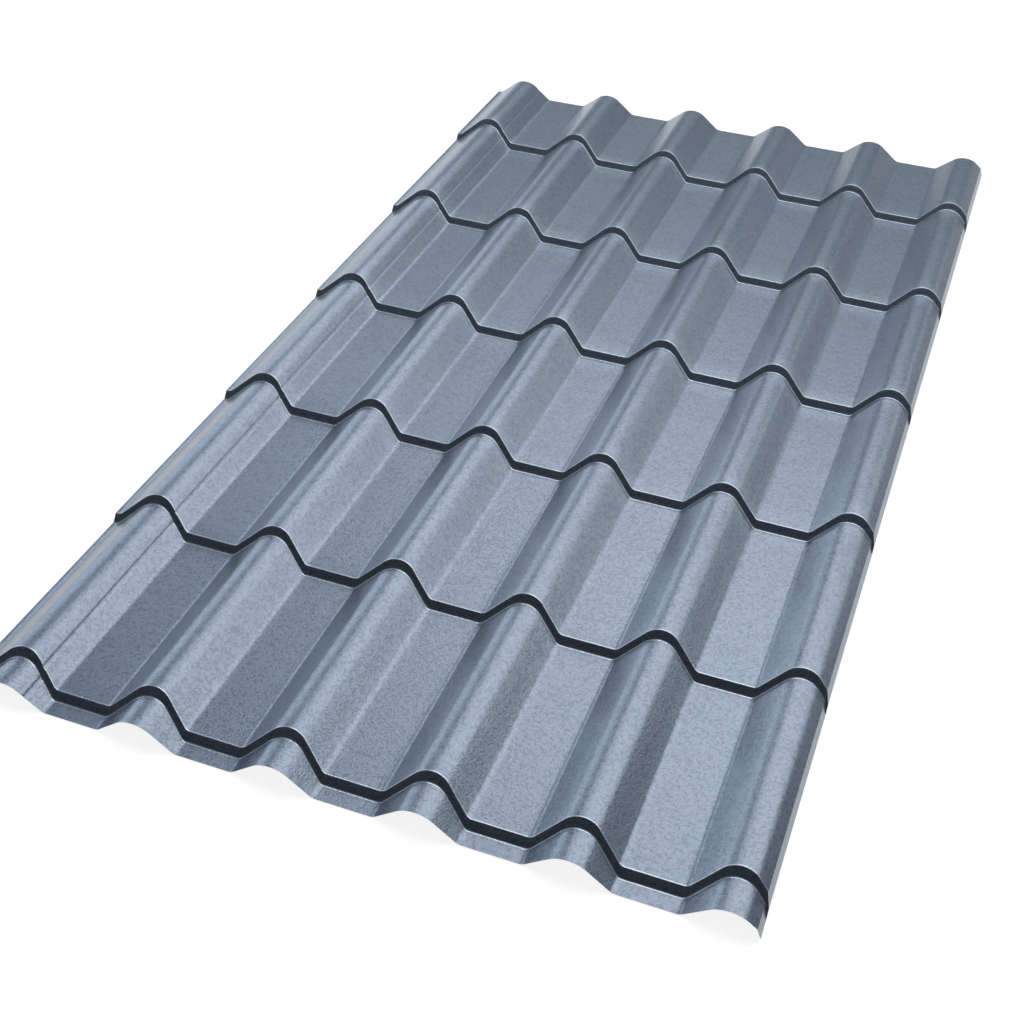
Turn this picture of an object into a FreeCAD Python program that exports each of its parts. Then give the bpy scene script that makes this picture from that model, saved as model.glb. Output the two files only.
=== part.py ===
"""Tile effect metal roofing sheet: one pressed steel sheet lying on a level floor.

The sheet is wavy across its width and stepped along its length. Each course is one tread, the
wave carried straight down the slope, and one riser, the flat band between the waves of two
treads. Every riser lies in a plane that leans back towards the top of the sheet, which sets the
crests of its step back from the valleys.

X runs across the sheet, +Y towards its top edge and +Z up, in millimetres. The origin is on the
floor, under the middle of the sheet.
"""
import FreeCAD
import Part
import math
import os

import Sketcher

NODE = "roofing_sheet"

# Driving dimensions: alias, value, meaning.
SIZES = [
    ("wave_pitch", 200.0, "crest to crest across the sheet"),
    ("wave_count", 6, "crests across the sheet"),
    ("wave_height", 34.5, "valley to crest"),
    ("valley_width", 84.0, "valley floor from slope to slope, corners sharp"),
    ("valley_radius", 12.0, "bend at the foot of a slope, in the leaning plane"),
    ("crest_radius", 34.0, "round of a crest, in the leaning plane"),
    ("crest_setback", 27.5, "how far a step's crests lie behind its valleys"),
    ("left_lip", 8.0, "flat lip outside the first wave"),
    ("crease_reach", 35.0, "last crest to the crease of the right lip"),
    ("right_lip_run", 5.5, "how far the right lip leans outward"),
    ("right_lip_drop", 15.0, "how far the right lip hangs down"),
    ("groove_start", 30.0, "first crest to the water groove beside it"),
    ("groove_width", 7.0, "water groove across its mouth"),
    ("groove_floor", 2.6, "water groove across its floor"),
    ("groove_depth", 1.6, "water groove, mouth to floor"),
    ("course_length", 350.0, "step to step along the sheet"),
    ("step_count", 6, "steps along the sheet"),
    ("step_height", 11.5, "rise of a step"),
    ("top_reach", 254.0, "first step's edge to the top cut, in a valley"),
    ("skirt_reach", 34.0, "last step's edge to the bottom cut, in a valley"),
    ("metal", 0.5, "thickness of the coated steel"),
    ("trim_margin", 20.0, "how far the trimming reaches past the metal"),
]


class Size:
    """A number together with the expression over the sheet of sizes that it comes from."""

    def __init__(self, value, text):
        self.value = float(value)
        self.text = text

    def join(self, sign, other, value):
        return Size(value, f"({self.text} {sign} {as_size(other).text})")

    def __add__(self, other):
        return self.join("+", other, self.value + as_size(other).value)

    def __sub__(self, other):
        return self.join("-", other, self.value - as_size(other).value)

    def __mul__(self, other):
        return self.join("*", other, self.value * as_size(other).value)

    def __truediv__(self, other):
        return self.join("/", other, self.value / as_size(other).value)

    def __neg__(self):
        return Size(-self.value, f"(0 - {self.text})")

    def root(self):
        return Size(math.sqrt(self.value), f"sqrt({self.text})")

    def sine(self):
        return Size(math.sin(math.radians(self.value)), f"sin({self.text} * 1 deg)")

    def cosine(self):
        return Size(math.cos(math.radians(self.value)), f"cos({self.text} * 1 deg)")

    def tangent(self):
        return Size(math.tan(math.radians(self.value)), f"tan({self.text} * 1 deg)")


def as_size(number):
    return number if isinstance(number, Size) else Size(number, repr(number))


def arc_tangent(rise, run):
    """The angle whose tangent is rise / run, in degrees."""
    value = math.degrees(math.atan2(rise.value, run.value))
    return Size(value, f"(atan({rise.text} / {run.text}) / 1 deg)")


def arc_sine(opposite, slant):
    """The angle whose sine is opposite / slant, in degrees."""
    value = math.degrees(math.asin(opposite.value / slant.value))
    return Size(value, f"(asin({opposite.text} / {slant.text}) / 1 deg)")


class Sizes:
    """The sheet of sizes: the driving dimensions, then the values worked out from them."""

    def __init__(self, doc):
        self.sheet = doc.addObject("Spreadsheet::Sheet", "sizes")
        self.row = 0
        for alias, value, meaning in SIZES:
            self.write(alias, str(value), meaning)
            setattr(self, alias, Size(value, f"sizes.{alias}"))
        doc.recompute()
        self.work_out()

    def write(self, alias, content, meaning):
        self.row += 1
        self.sheet.set(f"A{self.row}", alias)
        self.sheet.set(f"B{self.row}", content)
        self.sheet.set(f"C{self.row}", meaning)
        self.sheet.setAlias(f"B{self.row}", alias)

    def keep(self, alias, size, meaning):
        """Write a worked-out value as a formula in the sheet and return it bound to its cell."""
        self.write(alias, "=" + size.text.replace("sizes.", ""), meaning)
        return Size(size.value, f"sizes.{alias}")

    def work_out(self):
        self.lean = self.keep("lean", self.crest_setback / self.wave_height,
                              "setback for each millimetre of height")
        self.lean_angle = self.keep("lean_angle", arc_tangent(self.crest_setback, self.wave_height),
                                    "lean of the riser planes from upright")
        self.stretch = self.keep("stretch", (self.lean * self.lean + 1).root(),
                                 "height in a leaning plane over true height")
        self.half_run = self.keep("half_run", (self.wave_pitch - self.valley_width) / 2,
                                  "crest to the foot of its slope")
        # In the leaning plane each slope line touches the crest's round and meets the valley
        # floor at its foot, which fixes its angle and the sharp apex over the round.
        rise = self.wave_height * self.stretch - self.crest_radius
        slant = (self.half_run * self.half_run + rise * rise).root()
        plane_slope = self.keep("plane_slope",
                                arc_tangent(rise, self.half_run) + arc_sine(self.crest_radius, slant),
                                "slope angle in the leaning plane")
        self.apex = self.keep("apex", self.half_run * plane_slope.tangent() / self.stretch,
                              "sharp apex over a crest, true height")
        self.slope = self.keep("slope", arc_tangent(self.apex, self.half_run), "true slope angle")
        self.riser_run = self.keep("riser_run", self.step_height * self.lean,
                                   "how far a step's foot lies in front of its edge")
        self.tread_run = self.keep("tread_run", self.course_length - self.riser_run,
                                   "level length of a tread")
        self.top_cut = self.keep("top_cut", self.top_reach - self.tread_run, "top cut, along Y")
        self.bottom_cut = self.keep(
            "bottom_cut",
            self.riser_run - self.course_length * self.step_count - self.skirt_reach,
            "bottom cut, along Y")


class Wave:
    """The wave across the sheet, upper face and underside, from left to right.

    Corners are kept as true heights, together with the slopes of the two runs that meet there,
    and are stretched when they are drawn in a leaning plane.
    """

    def __init__(self, size):
        self.size = size
        self.corners = []
        level = as_size(0)
        up = size.slope
        down = -size.slope
        self.add(-size.half_run - size.left_lip, level, None, level, level)
        count = int(size.wave_count.value)
        for number in range(count):
            crest = size.wave_pitch * number
            self.add(crest - size.half_run, level, size.valley_radius, level, up)
            self.add(crest, size.apex, size.crest_radius, up, down)
            if number == 0:
                self.add_groove()
            if number < count - 1:
                self.add(crest + size.half_run, level, size.valley_radius, down, level)
        self.add_right_lip(crest)

    def add(self, across, up, radius, before, after):
        self.corners.append((across, up, radius, before, after))

    def on_slope(self, distance):
        """Height of the slope right of a crest, at a distance from the crest."""
        return (self.size.half_run - distance) * self.size.slope.tangent()

    def add_groove(self):
        """The water groove on the slope right of the first crest."""
        size = self.size
        flank = (size.groove_width - size.groove_floor) / 2
        down = -size.slope
        mouth = size.groove_start
        stations = [mouth, mouth + flank, mouth + size.groove_width - flank,
                    mouth + size.groove_width]
        heights = [self.on_slope(stations[0]), self.on_slope(stations[1]) - size.groove_depth,
                   self.on_slope(stations[2]) - size.groove_depth, self.on_slope(stations[3])]
        entry = arc_tangent(heights[1] - heights[0], flank)
        leave = arc_tangent(heights[3] - heights[2], flank)
        runs = [down, entry, down, leave, down]
        for place in range(4):
            self.add(stations[place], heights[place], None, runs[place], runs[place + 1])

    def add_right_lip(self, crest):
        size = self.size
        crease = self.on_slope(size.crease_reach)
        hang = arc_tangent(-size.right_lip_drop, size.right_lip_run)
        self.add(crest + size.crease_reach, crease, None, -size.slope, hang)
        self.add(crest + size.crease_reach + size.right_lip_run, crease - size.right_lip_drop,
                 None, hang, hang)

    def upper(self, raised):
        """Corners of the upper face in the leaning plane, raised by a true height."""
        return [(across, (up + raised) * self.size.stretch, radius)
                for across, up, radius, before, after in self.corners]

    def under(self):
        """Corners of the underside in the leaning plane, one thickness below the upper face."""
        metal = self.size.metal
        corners = []
        for across, up, radius, before, after in self.corners:
            opening = (after - before).cosine() + 1
            aside = (before.sine() + after.sine()) * metal / opening
            below = (before.cosine() + after.cosine()) * metal / opening
            if radius is not None:
                valley = after.value > before.value
                radius = radius + metal if valley else radius - metal
            corners.append((across + aside, (up - below) * self.size.stretch, radius))
        return corners

    def outline(self, raised):
        """The closed outline between the underside and the upper face raised by a height."""
        return self.upper(raised) + self.under()[::-1]


class Outline:
    """A closed line of straight runs in a sketch, drawn from its corners and their bend radii.

    Each corner is (across, up, radius), and a radius of None leaves the corner sharp.
    """

    def __init__(self, sketch, corners):
        self.sketch = sketch
        self.corners = corners
        self.rules = []
        self.bound = []
        self.sharp = [FreeCAD.Vector(x.value, y.value, 0) for x, y, _ in corners]
        self.bends = [self.bend(index) for index in range(len(corners))]
        self.draw_lines()
        for index in range(len(corners)):
            self.draw_corner(index)
        self.sketch.addConstraint(self.rules)
        for rule, size in self.bound:
            self.sketch.setExpression(f"Constraints[{rule}]", size.text)

    def bend(self, index):
        """The start, the end and the centre of the arc at a corner."""
        corner = self.sharp[index]
        radius = self.corners[index][2]
        if radius is None:
            return corner, corner, None
        back = (self.sharp[index - 1] - corner).normalize()
        ahead = (self.sharp[(index + 1) % len(self.sharp)] - corner).normalize()
        half = back.getAngle(ahead) / 2
        reach = radius.value / math.tan(half)
        middle = (back + ahead).normalize() * (radius.value / math.sin(half))
        return corner + back * reach, corner + ahead * reach, corner + middle

    def draw_lines(self):
        self.lines = []
        for index in range(len(self.corners)):
            leave = self.bends[index][1]
            arrive = self.bends[(index + 1) % len(self.corners)][0]
            self.lines.append(self.sketch.addGeometry(Part.LineSegment(leave, arrive), False))

    def place(self, geometry, point, across, up):
        """Hold a point at its distances from the sketch's origin."""
        for kind, size in (("DistanceX", across), ("DistanceY", up)):
            self.bound.append((len(self.rules), size))
            self.rules.append(Sketcher.Constraint(kind, -1, 1, geometry, point, size.value))

    def draw_corner(self, index):
        across, up, radius = self.corners[index]
        before = self.lines[index - 1]
        after = self.lines[index]
        if radius is None:
            self.rules.append(Sketcher.Constraint("Coincident", before, 2, after, 1))
            self.place(after, 1, across, up)
            return
        start, end, centre = self.bends[index]
        left_turn = (start - centre).cross(end - centre).z > 0
        first, last = (start, end) if left_turn else (end, start)
        circle = Part.Circle(centre, FreeCAD.Vector(0, 0, 1), radius.value)
        arc = self.sketch.addGeometry(
            Part.ArcOfCircle(circle, circle.parameter(first), circle.parameter(last)), False)
        corner = self.sketch.addGeometry(Part.Point(self.sharp[index]), True)
        start_point, end_point = (1, 2) if left_turn else (2, 1)
        self.rules.append(Sketcher.Constraint("Tangent", before, 2, arc, start_point))
        self.rules.append(Sketcher.Constraint("Tangent", arc, end_point, after, 1))
        self.rules.append(Sketcher.Constraint("PointOnObject", corner, 1, before))
        self.rules.append(Sketcher.Constraint("PointOnObject", corner, 1, after))
        self.bound.append((len(self.rules), radius))
        self.rules.append(Sketcher.Constraint("Radius", arc, radius.value))
        self.place(corner, 1, across, up)


def origin_item(body, role):
    return [item for item in body.Origin.OriginFeatures if item.Role == role][0]


def add_sketch(body, name, role):
    sketch = body.newObject("Sketcher::SketchObject", name)
    sketch.AttachmentSupport = [(origin_item(body, role), "")]
    sketch.MapMode = "FlatFace"
    return sketch


def add_leaning_sketch(body, name, size, forward, corners):
    """A sketch in the leaning plane that meets the valley floor at a distance towards -Y."""
    sketch = add_sketch(body, name, "XZ_Plane")
    sketch.AttachmentOffset = FreeCAD.Placement(
        FreeCAD.Vector(0, 0, forward.value),
        FreeCAD.Rotation(FreeCAD.Vector(1, 0, 0), -size.lean_angle.value))
    sketch.setExpression("AttachmentOffset.Base.z", forward.text)
    sketch.setExpression("AttachmentOffset.Rotation.Angle", f"0 deg - {size.lean_angle.text} * 1 deg")
    Outline(sketch, corners)
    return sketch


def add_pad(body, name, sketch, length, direction):
    pad = body.newObject("PartDesign::Pad", name)
    pad.Profile = sketch
    pad.UseCustomVector = True
    pad.AlongSketchNormal = False
    pad.Direction = FreeCAD.Vector(*(part.value for part in direction))
    for axis, part in zip("xyz", direction):
        pad.setExpression(f"Direction.{axis}", part.text)
    pad.setExpression("Length", length.text)
    return pad


def trim(doc, body, name, near, size, outward):
    """Cut away everything beyond one end of the sheet, square to its length."""
    waste = size.course_length + size.trim_margin
    far = near + waste * outward
    low = -size.trim_margin - size.metal
    high = size.wave_height + size.step_height * 2 + size.trim_margin
    sketch = add_sketch(body, name + "_waste", "YZ_Plane")
    Outline(sketch, [(near, low, None), (far, low, None), (far, high, None), (near, high, None)])
    doc.recompute()
    before = body.Shape.Volume
    pocket = body.newObject("PartDesign::Pocket", name)
    pocket.Profile = sketch
    pocket.SideType = "Symmetric"
    pocket.Type = "ThroughAll"
    doc.recompute()
    if body.Shape.Volume >= before:
        raise RuntimeError(f"{name} removed nothing")


def build_sheet(doc, size):
    body = doc.addObject("PartDesign::Body", NODE)
    body.Label = NODE
    wave = Wave(size)
    none = as_size(0)

    tread_sketch = add_leaning_sketch(body, "tread_section", size, none, wave.outline(none))
    tread_length = (size.tread_run * size.tread_run + size.step_height * size.step_height).root()
    tread = add_pad(body, "tread", tread_sketch, tread_length,
                    (none, -size.tread_run, size.step_height))
    doc.recompute()

    riser_sketch = add_leaning_sketch(body, "riser_band", size, size.course_length,
                                      wave.outline(size.step_height))
    riser = add_pad(body, "riser", riser_sketch, size.metal, (none, as_size(1), -size.lean))
    doc.recompute()

    courses = body.newObject("PartDesign::LinearPattern", "courses")
    courses.Originals = [tread, riser]
    courses.Direction = (origin_item(body, "Y_Axis"), [""])
    courses.Reversed = True
    courses.Mode = "Spacing"
    courses.setExpression("Offset", size.course_length.text)
    courses.setExpression("Occurrences", f"{size.step_count.text} + 1")
    body.Tip = courses
    doc.recompute()

    trim(doc, body, "top_trim", size.top_cut, size, 1)
    trim(doc, body, "bottom_trim", size.bottom_cut, size, -1)
    stand_on_origin(body, size, wave)
    return body


def stand_on_origin(body, size, wave):
    """Move the sheet so that the origin is on the floor under its middle.

    Its lowest line is the lower back edge of a riser in a valley.
    """
    left = wave.corners[0][0]
    right = wave.corners[-1][0]
    moves = {
        "x": -(left + right) / 2,
        "y": -(size.top_cut + size.bottom_cut) / 2,
        "z": size.metal + size.metal * size.lean / size.stretch,
    }
    body.Placement.Base = FreeCAD.Vector(*(move.value for move in moves.values()))
    for axis, move in moves.items():
        body.setExpression(f"Placement.Base.{axis}", move.text)


def check(doc, body):
    for item in doc.Objects:
        if "Invalid" in item.State or "Error" in item.State:
            raise RuntimeError(f"{item.Name} failed: {item.State}")
    if body.Shape.isNull() or not body.Shape.isValid():
        raise RuntimeError(f"{body.Label} has no valid shape")


def main():
    doc = FreeCAD.newDocument("roofing")
    size = Sizes(doc)
    body = build_sheet(doc, size)
    doc.recompute()
    check(doc, body)
    os.makedirs("parts", exist_ok=True)
    body.Shape.exportStep(f"parts/{body.Label}.step")


main()
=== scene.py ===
"""Look, light and camera for the tile effect metal roofing sheet.

Lengths are in metres in the part's frame: X runs across the sheet, +Y towards its top edge and +Z
up, with the origin on the floor under the middle of the sheet.
"""
import math

import bmesh
import bpy
from mathutils import Matrix, Vector


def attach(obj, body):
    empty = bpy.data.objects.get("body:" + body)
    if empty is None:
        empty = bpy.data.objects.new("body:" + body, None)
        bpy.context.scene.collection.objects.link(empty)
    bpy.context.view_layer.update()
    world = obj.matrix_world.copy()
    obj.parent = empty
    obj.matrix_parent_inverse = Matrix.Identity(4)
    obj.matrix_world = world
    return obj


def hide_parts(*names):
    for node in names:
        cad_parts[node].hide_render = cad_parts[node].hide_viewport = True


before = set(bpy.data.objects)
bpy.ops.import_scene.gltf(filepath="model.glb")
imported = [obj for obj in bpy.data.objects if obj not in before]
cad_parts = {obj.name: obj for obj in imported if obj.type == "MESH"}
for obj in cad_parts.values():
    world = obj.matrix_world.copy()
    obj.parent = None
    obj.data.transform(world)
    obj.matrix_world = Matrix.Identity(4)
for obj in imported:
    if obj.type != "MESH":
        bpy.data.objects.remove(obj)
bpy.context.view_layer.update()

NODE = "roofing_sheet"
BODY = "root"

# Sizes of the sheet
WAVE_PITCH = 0.200
WAVE_COUNT = 6
WAVE_HEIGHT = 0.0345
VALLEY_WIDTH = 0.084
VALLEY_BEND = 0.012
CREST_ROUND = 0.034
CREST_SETBACK = 0.0275
LEFT_LIP = 0.008
CREASE_REACH = 0.035
RIGHT_LIP_RUN = 0.0055
RIGHT_LIP_DROP = 0.015
CREASE_BEND = 0.0012
GROOVE_START = 0.030
GROOVE_WIDTH = 0.007
GROOVE_FLOOR = 0.0026
GROOVE_DEPTH = 0.0008  # half the part's, as it looks in the photograph
GROOVE_BEND = 0.0008
COURSE = 0.350
STEP_COUNT = 6
STEP_HEIGHT = 0.0115
TOP_REACH = 0.254
SKIRT_REACH = 0.034
METAL = 0.0005
EDGE_BEND = 0.0022
FOOT_BEND = 0.0036

# Values worked out from the sizes
LEAN = CREST_SETBACK / WAVE_HEIGHT
STRETCH = math.hypot(1, LEAN)
HALF_RUN = (WAVE_PITCH - VALLEY_WIDTH) / 2
PLANE_RISE = WAVE_HEIGHT * STRETCH - CREST_ROUND
PLANE_SLOPE = (math.atan2(PLANE_RISE, HALF_RUN)
               + math.asin(CREST_ROUND / math.hypot(HALF_RUN, PLANE_RISE)))
RISER_RUN = STEP_HEIGHT * LEAN
TREAD_RUN = COURSE - RISER_RUN
LENGTH = TOP_REACH + COURSE * (STEP_COUNT - 1) + SKIRT_REACH
TOP_CUT = LENGTH / 2
LEFT_END = -HALF_RUN - LEFT_LIP
RIGHT_END = WAVE_PITCH * (WAVE_COUNT - 1) + CREASE_REACH + RIGHT_LIP_RUN
MIDDLE = (LEFT_END + RIGHT_END) / 2
FLOOR_GAP = METAL + METAL * LEAN / STRETCH

# Fineness of the mesh
CREST_PARTS = 15
BEND_PARTS = 5
SMALL_BEND_PARTS = 4
SLOPE_PARTS = 2
VALLEY_PARTS = 8
TREAD_PARTS = 9

# Camera, from the fit to the photograph
CAMERA_PLACE = (0.61934, -2.09863, 1.52140)
CAMERA_AZIMUTH = math.radians(-19.72)
CAMERA_DIP = math.radians(40.03)
CAMERA_ROLL = math.radians(1.26)
CAMERA_LENS = 53.18
SENSOR_WIDTH = 36.0
CLIP_NEAR = 0.05
CLIP_FAR = 60.0

# Coat of the upper face: scales of its patterns, and how much each one shows
WRINKLE_SCALE = 150.0
WRINKLE_WARP = 0.8
WRINKLE_SHARPNESS = 6
GRAIN_SCALE = 420.0
CLOUD_SCALE = 5.0
STREAK_SCALES = (14.0, 1.6, 14.0)
WRINKLE_RELIEF = 0.75
COAT_RELIEF = 0.00023
COAT_BUMP = 0.6
TONE_CONTRAST = 0.45
WRINKLE_TINT = 0.38
FLECK_TINT = 0.15
FLECK_SHARPNESS = 2.2
FLECK_START = 0.9
COAT_METALLIC = 0.75
COAT_ROUGHNESS = 0.27
ROUGHNESS_SPREAD = 0.06
COAT_DARK = (0.148, 0.180, 0.242, 1)
COAT_LIGHT = (0.190, 0.227, 0.296, 1)
COAT_WRINKLE = (0.36, 0.41, 0.50, 1)

# Painted highlight lines along the bends, standing in for light catching the step noses and feet:
# half their width, how much they show, and their colour
NOSE_HIGHLIGHT_HALF = 0.0011
FOOT_HIGHLIGHT_HALF = 0.0011
FOOT_HIGHLIGHT_SHARE = 0.7
BEND_HIGHLIGHT_TINT = 0.85
BEND_HIGHLIGHT_COLOUR = (0.62, 0.67, 0.74, 1)

# Backing coat and cut edge
BACKING_DARK = (0.30, 0.31, 0.31, 1)
BACKING_LIGHT = (0.38, 0.39, 0.39, 1)
BACKING_CLOUD_SCALE = 9.0
BACKING_GRAIN_SCALE = 700.0
BACKING_BUMP = 0.3
BACKING_RELIEF = 0.0002
BACKING_METALLIC = 0.2
BACKING_ROUGHNESS = 0.5
BACKING_SPREAD = 0.1
STEEL_DARK = (0.34, 0.35, 0.37, 1)
STEEL_LIGHT = (0.52, 0.53, 0.55, 1)
SHEAR_SCALES = (900.0, 900.0, 60.0)
STEEL_METALLIC = 0.8
STEEL_ROUGHNESS = 0.35
STEEL_SPREAD = 0.15

# Floor
FLOOR_HALF = 14.0
FLOOR_COLOUR = (0.86, 0.86, 0.86, 1)
FLOOR_SHADOWED = (0.30, 0.30, 0.30, 1)
FLOOR_WHITE = (1, 1, 1, 1)
FLOOR_GLOW = 0.86

# Light
SKY_COLOUR = (0.76, 0.90, 1.0, 1)
SKY_RISE = (-0.08, 0.50, 0.72)
SKY_START = 0.02
SKY_STRENGTH = 0.48
SKY_LEAST = 0.01
WARM_WHITE = (1.0, 0.98, 0.925)
COOL_WHITE = (0.90, 0.96, 1.0)
SOFT_WHITE = (1.0, 0.98, 0.95)

# Sockets of a Mix node that mixes colours
MIX_ONE = 6
MIX_OTHER = 7
MIX_RESULT = 2


def rounded(corners):
    """Points along a line whose corners are rounded.

    Each corner is (across, up, radius, parts of its round, parts of the run after it).
    """
    places = [Vector(corner[:2]) for corner in corners]
    pieces = []
    for index, (place, corner) in enumerate(zip(places, corners)):
        radius, parts = corner[2:4]
        if not radius:
            pieces.append([place])
            continue
        back = (places[index - 1] - place).normalized()
        ahead = (places[index + 1] - place).normalized()
        half = back.angle(ahead) / 2
        centre = place + (back + ahead).normalized() * (radius / math.sin(half))
        first = place + back * (radius / math.tan(half)) - centre
        last = place + ahead * (radius / math.tan(half)) - centre
        turn = first.angle_signed(last)
        pieces.append([centre + Matrix.Rotation(-turn * part / parts, 2) @ first
                       for part in range(parts + 1)])
    line = []
    for piece, following, corner in zip(pieces, pieces[1:] + [None], corners):
        line += piece
        if following:
            parts = corner[4]
            line += [piece[-1].lerp(following[0], part / parts) for part in range(1, parts)]
    return line


def on_slope(distance):
    """Height in the leaning plane of the slope beside a crest, at a distance from the crest."""
    return (HALF_RUN - distance) * math.tan(PLANE_SLOPE)


def groove_corners():
    """The water groove on the slope right of the first crest."""
    flank = (GROOVE_WIDTH - GROOVE_FLOOR) / 2
    depth = GROOVE_DEPTH * STRETCH
    stations = [(GROOVE_START, 0), (GROOVE_START + flank, depth),
                (GROOVE_START + GROOVE_WIDTH - flank, depth), (GROOVE_START + GROOVE_WIDTH, 0)]
    return [(across, on_slope(across) - deep, GROOVE_BEND, SMALL_BEND_PARTS, 1)
            for across, deep in stations]


def wave_line():
    """The wave across the sheet in the leaning plane, from left to right."""
    apex = on_slope(0)
    corners = [(LEFT_END, 0, 0, 0, 2)]
    for number in range(WAVE_COUNT):
        crest = WAVE_PITCH * number
        corners.append((crest - HALF_RUN, 0, VALLEY_BEND, BEND_PARTS, SLOPE_PARTS))
        corners.append((crest, apex, CREST_ROUND, CREST_PARTS, SLOPE_PARTS))
        if number == 0:
            corners += groove_corners()
        if number < WAVE_COUNT - 1:
            corners.append((crest + HALF_RUN, 0, VALLEY_BEND, BEND_PARTS, VALLEY_PARTS))
    crease = on_slope(CREASE_REACH)
    corners.append((crest + CREASE_REACH, crease, CREASE_BEND, SMALL_BEND_PARTS, 4))
    corners.append((RIGHT_END, crease - RIGHT_LIP_DROP * STRETCH, 0, 0, 1))
    return rounded(corners)


def step_line(setback):
    """Treads and steps from the top cut to the bottom cut, where the wave is set back so far."""
    top = TOP_CUT - setback
    bottom = TOP_CUT - LENGTH - setback
    first_edge = TOP_CUT - TOP_REACH

    def tread_height(place, edge):
        return STEP_HEIGHT * (1 - (place - edge) / TREAD_RUN)

    corners = [(top, tread_height(top, first_edge), 0, 0, TREAD_PARTS)]
    for number in range(STEP_COUNT):
        edge = first_edge - COURSE * number
        corners.append((edge, STEP_HEIGHT, EDGE_BEND, BEND_PARTS, 2))
        corners.append((edge - RISER_RUN, 0, FOOT_BEND, BEND_PARTS, TREAD_PARTS))
    corners.append((bottom, tread_height(bottom, edge - COURSE), 0, 0, 1))
    return rounded(corners)


def upper_points():
    """Points of the upper face, one list for each line along the sheet."""
    grid = []
    for across, leaning in wave_line():
        height = leaning / STRETCH
        grid.append([Vector((across - MIDDLE, along + height * LEAN, height + up + FLOOR_GAP))
                     for along, up in step_line(height * LEAN)])
    return grid


def skin(mesh, points, material, flip):
    """A sheet of faces over a grid of points."""
    grid = [[mesh.verts.new(point) for point in line] for line in points]
    for left, right in zip(grid, grid[1:]):
        for index in range(len(left) - 1):
            ring = [left[index], left[index + 1], right[index + 1], right[index]]
            face = mesh.faces.new(ring[::-1] if flip else ring)
            face.material_index = material
            face.smooth = True
    return grid


def border(grid):
    """The points round the rim of a grid, in order."""
    near = [line[0] for line in grid]
    far = [line[-1] for line in grid]
    return near + grid[-1][1:-1] + far[::-1] + grid[0][-2:0:-1]


def close_rim(mesh, upper, under, material):
    """The cut edge between the two faces, with sharp borders."""
    above = border(upper)
    below = border(under)
    for index in range(len(above)):
        after = (index + 1) % len(above)
        face = mesh.faces.new([above[index], above[after], below[after], below[index]])
        face.material_index = material
        for edge in face.edges:
            edge.smooth = False


def sheet_mesh():
    """The sheet as one closed mesh: upper face, underside and cut edge."""
    mesh = bmesh.new()
    upper = skin(mesh, upper_points(), 0, False)
    mesh.normal_update()
    under_points = [[vert.co - vert.normal * METAL for vert in line] for line in upper]
    # Both faces end at the same Y, so that the top and bottom cuts stand upright
    for line, below in zip(upper, under_points):
        for end in (0, -1):
            below[end].y = line[end].co.y
    under = skin(mesh, under_points, 1, True)
    close_rim(mesh, upper, under, 2)
    bmesh.ops.recalc_face_normals(mesh, faces=mesh.faces)
    data = bpy.data.meshes.new("pressed_sheet")
    mesh.to_mesh(data)
    mesh.free()
    return data


class Wire:
    """An output socket that takes part in Python arithmetic, one Math node for each sign."""

    def __init__(self, graph, socket):
        self.graph = graph
        self.socket = socket

    def math(self, operation, *others):
        return self.graph.node("ShaderNodeMath", {"operation": operation}, [self, *others])

    def __add__(self, other):
        return self.math("ADD", other)

    def __sub__(self, other):
        return self.math("SUBTRACT", other)

    def __mul__(self, other):
        return self.math("MULTIPLY", other)

    def __truediv__(self, other):
        return self.math("DIVIDE", other)

    def __radd__(self, other):
        return self + other

    def __rmul__(self, other):
        return self * other

    def __rsub__(self, other):
        return self.graph.node("ShaderNodeMath", {"operation": "SUBTRACT"}, [other, self])

    def __rtruediv__(self, other):
        return self.graph.node("ShaderNodeMath", {"operation": "DIVIDE"}, [other, self])

    def __abs__(self):
        return self.math("ABSOLUTE")

    def clamped(self):
        return self.math("MAXIMUM", 0.0).math("MINIMUM", 1.0)


class Graph:
    """The nodes of one material or of the world."""

    def __init__(self, owner):
        owner.use_nodes = True
        self.tree = owner.node_tree
        self.tree.nodes.clear()

    def node(self, kind, settings=None, inputs=None, output=0):
        """Add a node, set it up, feed its inputs and give back one of its outputs."""
        made = self.tree.nodes.new(kind)
        for name, value in (settings or {}).items():
            setattr(made, name, value)
        pairs = inputs.items() if isinstance(inputs, dict) else enumerate(inputs or [])
        for name, value in pairs:
            if isinstance(value, Wire):
                self.tree.links.new(value.socket, made.inputs[name])
            else:
                made.inputs[name].default_value = value
        if not made.outputs:
            return None
        return Wire(self, made.outputs[output])

    def noise(self, place, scale, detail, distortion=0.0):
        return self.node("ShaderNodeTexNoise", None,
                         {"Vector": place, "Scale": scale, "Detail": detail,
                          "Roughness": 0.5, "Distortion": distortion})

    def mix(self, factor, one, other):
        """A colour between two colours."""
        return self.node("ShaderNodeMix", {"data_type": "RGBA"},
                         {"Factor": factor, MIX_ONE: one, MIX_OTHER: other},
                         output=MIX_RESULT)

    def stretched(self, place, factors):
        """A place scaled by its own factor along each axis."""
        return self.node("ShaderNodeVectorMath", {"operation": "MULTIPLY"}, [place, factors])


def new_material(name):
    material = bpy.data.materials.new(name)
    return material, Graph(material)


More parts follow.
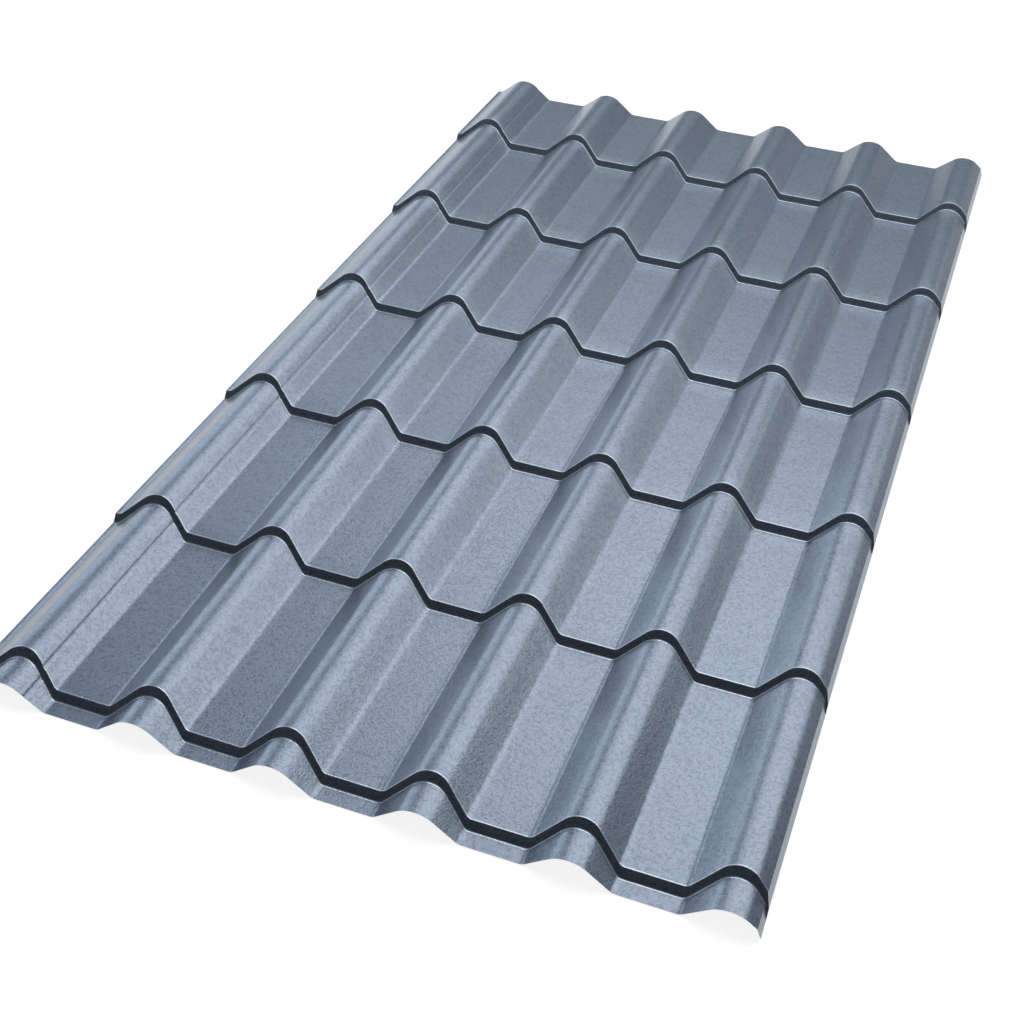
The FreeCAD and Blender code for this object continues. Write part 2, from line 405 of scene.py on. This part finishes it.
def painted_bend_highlights(graph, place):
    """Painted highlights: where the coat is painted lighter along the bends over the steps and at
    their feet, in place of light catching those bends.

    Every riser lies in a plane that leans by LEAN, so the distance from the nearest such plane,
    measured along Y, is small and positive over a step and just short of a course at its foot.
    """
    first_plane = TOP_CUT - TOP_REACH - LEAN * (STEP_HEIGHT + FLOOR_GAP)
    along = graph.node("ShaderNodeVectorMath", {"operation": "DOT_PRODUCT"},
                       [place, (0.0, 1.0, -LEAN)], output="Value")
    reach = (along - first_plane).math("FLOORED_MODULO", COURSE)
    over = (1 - abs(reach - NOSE_HIGHLIGHT_HALF) / NOSE_HIGHLIGHT_HALF).clamped()
    foot = (1 - abs(reach - (COURSE - FOOT_HIGHLIGHT_HALF)) / FOOT_HIGHLIGHT_HALF).clamped()
    return (over + foot * FOOT_HIGHLIGHT_SHARE).clamped()


def coated_steel():
    """Slate blue-grey coating with a fine wrinkle and a soft metallic glint."""
    material, graph = new_material("coated_steel")
    place = graph.node("ShaderNodeTexCoord", output="Object")
    worms = graph.noise(place, WRINKLE_SCALE, 1.0, WRINKLE_WARP)
    wrinkle = (1 - abs(worms - 0.5) * WRINKLE_SHARPNESS).clamped()
    grain = graph.noise(place, GRAIN_SCALE, 1.0)
    cloud = graph.noise(place, CLOUD_SCALE, 3.0)
    streak = graph.noise(graph.stretched(place, STREAK_SCALES), 1.0, 3.0)
    height = wrinkle * WRINKLE_RELIEF + grain * (1 - WRINKLE_RELIEF)
    fleck = (grain * FLECK_SHARPNESS - FLECK_START).clamped()
    tone = (cloud * 0.5 + streak * 0.5 - 0.5) * TONE_CONTRAST + 0.5
    colour = graph.mix(tone.clamped(), COAT_DARK, COAT_LIGHT)
    colour = graph.mix(fleck * FLECK_TINT + wrinkle * WRINKLE_TINT, colour, COAT_WRINKLE)
    # Painted highlight: lighter lines along the step noses and feet stand in for light catching
    # those bends
    colour = graph.mix(painted_bend_highlights(graph, place) * BEND_HIGHLIGHT_TINT, colour, BEND_HIGHLIGHT_COLOUR)
    bump = graph.node("ShaderNodeBump", None,
                      {"Strength": COAT_BUMP, "Distance": COAT_RELIEF, "Height": height})
    roughness = COAT_ROUGHNESS + grain * ROUGHNESS_SPREAD + (streak - 0.5) * ROUGHNESS_SPREAD
    shader = graph.node("ShaderNodeBsdfPrincipled", None,
                        {"Base Color": colour, "Metallic": COAT_METALLIC,
                         "Roughness": roughness, "Normal": bump})
    graph.node("ShaderNodeOutputMaterial", None, {"Surface": shader})
    return material


def backing_coat():
    """Thin light grey coat on the underside, a little mottled."""
    material, graph = new_material("backing_coat")
    place = graph.node("ShaderNodeTexCoord", output="Object")
    cloud = graph.noise(place, BACKING_CLOUD_SCALE, 4.0)
    grain = graph.noise(place, BACKING_GRAIN_SCALE, 1.0)
    colour = graph.mix(cloud, BACKING_DARK, BACKING_LIGHT)
    bump = graph.node("ShaderNodeBump", None,
                      {"Strength": BACKING_BUMP, "Distance": BACKING_RELIEF, "Height": grain})
    shader = graph.node("ShaderNodeBsdfPrincipled", None,
                        {"Base Color": colour, "Metallic": BACKING_METALLIC,
                         "Roughness": BACKING_ROUGHNESS + cloud * BACKING_SPREAD,
                         "Normal": bump})
    graph.node("ShaderNodeOutputMaterial", None, {"Surface": shader})
    return material


def cut_steel():
    """Bare galvanised steel on the cut edges, with fine shear marks."""
    material, graph = new_material("cut_steel")
    place = graph.node("ShaderNodeTexCoord", output="Object")
    marks = graph.noise(graph.stretched(place, SHEAR_SCALES), 1.0, 2.0)
    colour = graph.mix(marks, STEEL_DARK, STEEL_LIGHT)
    shader = graph.node("ShaderNodeBsdfPrincipled", None,
                        {"Base Color": colour, "Metallic": STEEL_METALLIC,
                         "Roughness": STEEL_ROUGHNESS + marks * STEEL_SPREAD})
    graph.node("ShaderNodeOutputMaterial", None, {"Surface": shader})
    return material


def add_object(name, data):
    made = bpy.data.objects.new(name, data)
    bpy.context.scene.collection.objects.link(made)
    return made


def add_sheet():
    data = sheet_mesh()
    for material in (coated_steel(), backing_coat(), cut_steel()):
        data.materials.append(material)
    sheet = add_object("pressed_sheet", data)
    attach(sheet, BODY)
    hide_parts(NODE)


def floor_material():
    """Plain pale floor that shows white to the camera and keeps the sheet's shadow."""
    material, graph = new_material("pale_floor")
    seen = graph.node("ShaderNodeLightPath", output="Is Camera Ray")
    glossy = graph.node("ShaderNodeLightPath", output="Is Glossy Ray")
    through = graph.node("ShaderNodeLightPath", output="Is Transmission Ray")
    plain = graph.node("ShaderNodeBsdfDiffuse", None, {"Color": FLOOR_COLOUR})
    faint = graph.node("ShaderNodeBsdfDiffuse", None, {"Color": FLOOR_SHADOWED})
    glow = graph.node("ShaderNodeEmission", None, {"Color": FLOOR_WHITE, "Strength": FLOOR_GLOW})
    white = graph.node("ShaderNodeAddShader", None, [faint, glow])
    shader = graph.node("ShaderNodeMixShader", None,
                        {0: (seen + glossy + through).clamped(), 1: plain, 2: white})
    graph.node("ShaderNodeOutputMaterial", None, {"Surface": shader})
    return material


def add_floor():
    data = bpy.data.meshes.new("floor")
    corners = [(across * FLOOR_HALF, along * FLOOR_HALF, 0)
               for across, along in ((-1, -1), (1, -1), (1, 1), (-1, 1))]
    data.from_pydata(corners, [], [(0, 1, 2, 3)])
    data.materials.append(floor_material())
    floor = add_object("floor", data)


def light_world():
    """Soft light from behind and above the sheet that falls off towards the camera's side."""
    world = bpy.data.worlds.new("studio")
    bpy.context.scene.world = world
    graph = Graph(world)
    place = graph.node("ShaderNodeTexCoord", output="Generated")
    lift = graph.node("ShaderNodeVectorMath", {"operation": "DOT_PRODUCT"},
                      [place, SKY_RISE], output="Value")
    glow = graph.node("ShaderNodeBackground", None,
                      {"Color": SKY_COLOUR,
                       "Strength": (lift - SKY_START).clamped() * SKY_STRENGTH + SKY_LEAST})
    graph.node("ShaderNodeOutputWorld", None, {"Surface": glow})


def add_softbox(name, azimuth, elevation, distance, width, height, power, colour):
    """A soft area light seen from the sheet's middle in a direction, azimuth 0 at +Y."""
    light = bpy.data.lights.new(name, "AREA")
    light.shape = "RECTANGLE"
    light.size = width
    light.size_y = height
    light.energy = power
    light.color = colour
    lamp = add_object(name, light)
    turn = math.radians(azimuth)
    lift = math.radians(elevation)
    towards = Vector((math.sin(turn) * math.cos(lift), math.cos(turn) * math.cos(lift),
                      math.sin(lift)))
    lamp.location = towards * distance
    lamp.rotation_mode = "QUATERNION"
    lamp.rotation_quaternion = towards.to_track_quat("Z", "Y")


def add_lights():
    light_world()
    add_softbox("key", azimuth=18.0, elevation=46.5, distance=8.0, width=10.4, height=3.8,
                power=245.0, colour=WARM_WHITE)
    add_softbox("right_side", azimuth=37.0, elevation=23.0, distance=8.0, width=3.2, height=2.8,
                power=32.0, colour=WARM_WHITE)
    add_softbox("left_fill", azimuth=-60.0, elevation=18.0, distance=8.0, width=9.0, height=4.6,
                power=180.0, colour=COOL_WHITE)
    add_softbox("top", azimuth=0.0, elevation=82.0, distance=6.0, width=4.4, height=2.8,
                power=125.0, colour=SOFT_WHITE)


def add_camera():
    data = bpy.data.cameras.new("camera")
    data.sensor_width = SENSOR_WIDTH
    data.lens = CAMERA_LENS
    data.dof.use_dof = False
    data.clip_start = CLIP_NEAR
    data.clip_end = CLIP_FAR
    camera = add_object("camera", data)
    turn = (Matrix.Rotation(-CAMERA_AZIMUTH, 4, "Z")
            @ Matrix.Rotation(math.pi / 2 - CAMERA_DIP, 4, "X")
            @ Matrix.Rotation(CAMERA_ROLL, 4, "Z"))
    camera.matrix_world = Matrix.Translation(CAMERA_PLACE) @ turn
    bpy.context.scene.camera = camera


add_sheet()
add_floor()
add_lights()
add_camera()
bpy.context.scene.view_settings.view_transform = "Standard"
